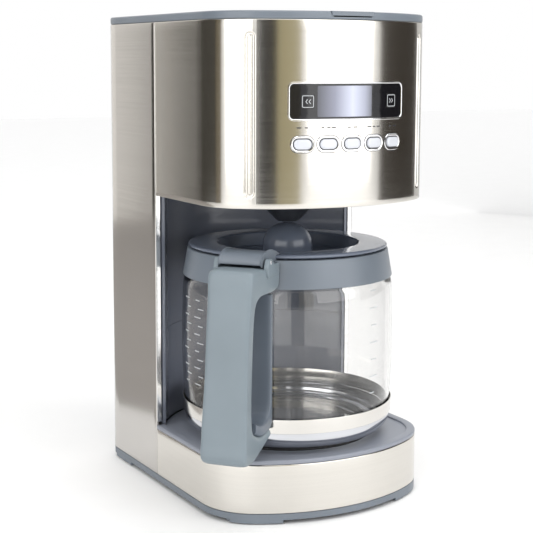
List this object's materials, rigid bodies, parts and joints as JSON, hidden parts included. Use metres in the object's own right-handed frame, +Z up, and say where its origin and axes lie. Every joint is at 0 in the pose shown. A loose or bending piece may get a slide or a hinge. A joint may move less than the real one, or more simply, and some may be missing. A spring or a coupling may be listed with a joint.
{
  "type": "drip coffee maker",
  "caption": "Drip coffee maker with a steel-wrapped body, curved front with a button row, and a handled glass carafe on a warming plate.",
  "frame": {"origin": "on the counter plane, under the middle of the body's footprint (the carafe handle isn't counted)", "axes": "+Z up, -Y out of the curved front with the controls, +X to the right seen from the front"},
  "size_m": [0.2015, 0.2394, 0.355],
  "materials": {
    "steel": "brushed",
    "grey_plastic": "satin",
    "pale_plastic": "satin",
    "slate_plastic": "gloss",
    "dark_plastic": "satin",
    "black_gloss": "gloss",
    "clear_white": "satin",
    "cap_plastic": "gloss",
    "black_rubber": "matte",
    "hose_rubber": "matte",
    "seal_rubber": "matte",
    "enamel": "gloss",
    "cast_aluminium": "cast",
    "zinc_steel": "plain",
    "chrome_trim": "polished",
    "circuit_board": "satin",
    "lcd": "gloss",
    "carbon": "matte",
    "ceramic": "matte",
    "wire": "satin",
    "glass": "clear"
  },
  "bodies": {
    "body": {"base_shell": "grey_plastic", "base_band": "steel", "deck": "grey_plastic", "bottom_cover": "dark_plastic", "bottom_screws": "zinc_steel", "rubber_feet": "black_rubber", "warming_plate": "enamel", "plate_gasket": "black_rubber", "heater": "cast_aluminium", "heater_bracket": "zinc_steel", "thermostat": "zinc_steel", "thermal_fuse": "ceramic", "power_board": "circuit_board", "wiring_loom": "wire", "cord_gland": "black_rubber", "rear_wrap": "steel", "rear_cover": "grey_plastic", "rear_screws": "zinc_steel", "column_panel_upper": "slate_plastic", "column_panel_lower": "slate_plastic", "water_tank": "dark_plastic", "check_valve": "clear_white", "cold_hose": "hose_rubber", "riser_tube": "hose_rubber", "hose_clips": "zinc_steel", "head_wrap": "steel", "head_shell": "grey_plastic", "brew_chamber": "dark_plastic", "top_frame": "grey_plastic", "lid_hinge_pins": "zinc_steel", "display_bezel": "chrome_trim", "display_lens": "black_gloss", "lcd_module": "lcd", "control_board": "circuit_board", "button_rings": "chrome_trim"},
    "lid": {"top_lid": "grey_plastic", "shower_head": "dark_plastic"},
    "basket": {"brew_basket": "dark_plastic"},
    "valve": {"drip_valve": "clear_white", "valve_seal": "seal_rubber", "valve_spring": "zinc_steel"},
    "tank_filter": {"filter_holder": "clear_white", "charcoal_filter": "carbon"},
    "carafe": {"carafe_glass": "glass", "carafe_collar": "grey_plastic", "carafe_band": "chrome_trim", "carafe_handle": "pale_plastic", "handle_liner": "grey_plastic", "handle_screw": "zinc_steel", "carafe_lid_pin": "zinc_steel"},
    "carafe_lid": {"carafe_lid": "grey_plastic"},
    "key_left": {"key_left": "black_gloss"},
    "key_right": {"key_right": "black_gloss"},
    "button_1": {"button_1": "cap_plastic"},
    "button_2": {"button_2": "cap_plastic"},
    "button_3": {"button_3": "cap_plastic"},
    "button_4": {"button_4": "cap_plastic"},
    "button_5": {"button_5": "cap_plastic"}
  },
  "joints": [
    {"name": "top_lid_hinge", "type": "hinge", "parent": "body", "child": "lid", "pos_m": [0, 0.0945, 0.3514], "axis": [-1, 0, 0], "range_deg": [0, 95]},
    {"name": "basket_lift", "type": "slide", "parent": "body", "child": "basket", "axis": [0, 0, 1], "range_m": [0, 0.008]},
    {"name": "drip_valve_lift", "type": "slide", "parent": "basket", "child": "valve", "axis": [0, 0, 1], "range_m": [0, 0.002], "stiffness_N_per_m": 120, "springref_m": -0.004, "deforming": ["valve_spring"]},
    {"name": "tank_filter_lift", "type": "slide", "parent": "body", "child": "tank_filter", "axis": [0, 0, 1], "range_m": [0, 0.04]},
    {"name": "carafe_out", "type": "slide", "parent": "body", "child": "carafe", "axis": [0, -1, 0], "range_m": [0, 0.22]},
    {"name": "carafe_lid_hinge", "type": "hinge", "parent": "carafe", "child": "carafe_lid", "pos_m": [-0.0717, -0.08653, 0.1861], "axis": [0.6561, -0.7547, 0], "range_deg": [0, 1.2]},
    {"name": "key_left_press", "type": "slide", "parent": "body", "child": "key_left", "axis": [0.2543, 0.9671, 0], "range_m": [0, 0.0008], "stiffness_N_per_m": 500},
    {"name": "key_right_press", "type": "slide", "parent": "body", "child": "key_right", "axis": [-0.2543, 0.9671, 0], "range_m": [0, 0.0008], "stiffness_N_per_m": 500},
    {"name": "button_1_press", "type": "slide", "parent": "body", "child": "button_1", "axis": [0.2761, 0.9611, 0], "range_m": [0, 0.001], "stiffness_N_per_m": 500},
    {"name": "button_2_press", "type": "slide", "parent": "body", "child": "button_2", "axis": [0.1394, 0.9902, 0], "range_m": [0, 0.001], "stiffness_N_per_m": 500},
    {"name": "button_3_press", "type": "slide", "parent": "body", "child": "button_3", "axis": [0, 1, 0], "range_m": [0, 0.001], "stiffness_N_per_m": 500},
    {"name": "button_4_press", "type": "slide", "parent": "body", "child": "button_4", "axis": [-0.1394, 0.9902, 0], "range_m": [0, 0.001], "stiffness_N_per_m": 500},
    {"name": "button_5_press", "type": "slide", "parent": "body", "child": "button_5", "axis": [-0.2761, 0.9611, 0], "range_m": [0, 0.001], "stiffness_N_per_m": 500}
  ],
  "couplings": [
    {"joint": "drip_valve_lift", "follows": "carafe_lid_hinge", "m_per_rad": 0.095}
  ]
}
